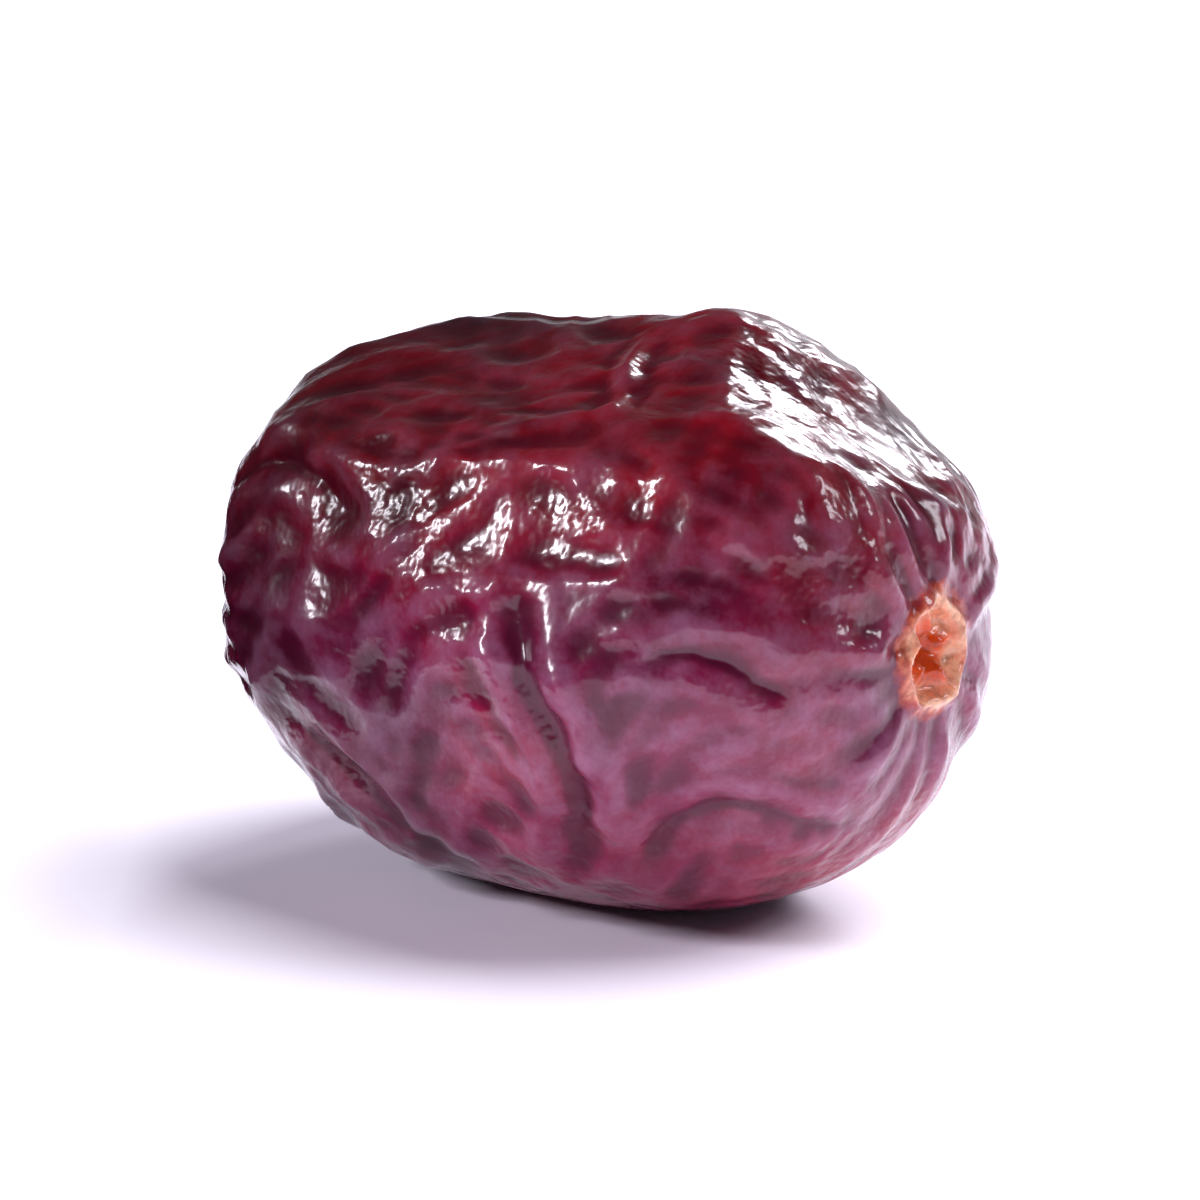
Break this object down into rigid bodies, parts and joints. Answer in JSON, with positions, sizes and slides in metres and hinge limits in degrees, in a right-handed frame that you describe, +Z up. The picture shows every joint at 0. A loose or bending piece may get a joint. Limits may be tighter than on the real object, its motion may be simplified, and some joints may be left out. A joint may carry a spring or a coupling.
{
  "type": "dried cranberry",
  "caption": "Whole dried cranberry, a glossy wrinkled burgundy fruit lying on its side, with sunken faces, folds, a stem pit and a blossom-end scar.",
  "frame": {"origin": "middle of the berry's footprint, on the surface that it lies on", "axes": "+X along the berry's long axis towards the blossom end, +Z up, -Y towards the berry's front"},
  "size_m": [0.0162, 0.0118, 0.0118],
  "materials": {
    "skin": "gloss"
  },
  "bodies": {
    "root": {"dried_cranberry": "skin"}
  },
  "joints": []
}
